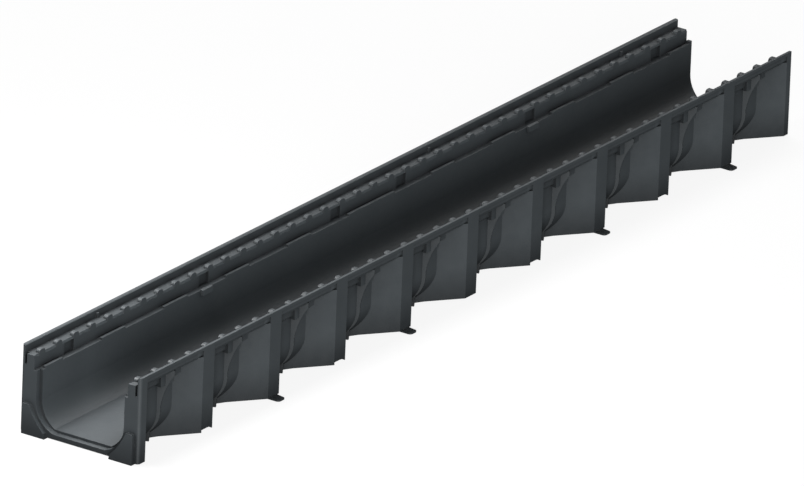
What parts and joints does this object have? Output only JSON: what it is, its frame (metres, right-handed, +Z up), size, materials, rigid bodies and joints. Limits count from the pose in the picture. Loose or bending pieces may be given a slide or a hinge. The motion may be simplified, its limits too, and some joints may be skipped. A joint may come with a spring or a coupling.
{
  "type": "channel drain",
  "caption": "Open polymer drainage channel with a round-cornered trough, toothed grating rails, zigzag anchoring side walls and a socketed end plate.",
  "frame": {"origin": "middle of the overall box, at the height the channel stands on", "axes": "+X along the channel from the socket end to the plain end, +Y across it, +Z up"},
  "size_m": [1.004, 0.147, 0.08],
  "materials": {
    "polymer": "satin moulded polypropylene"
  },
  "bodies": {
    "root": {"channel_body": "polymer"}
  },
  "joints": []
}
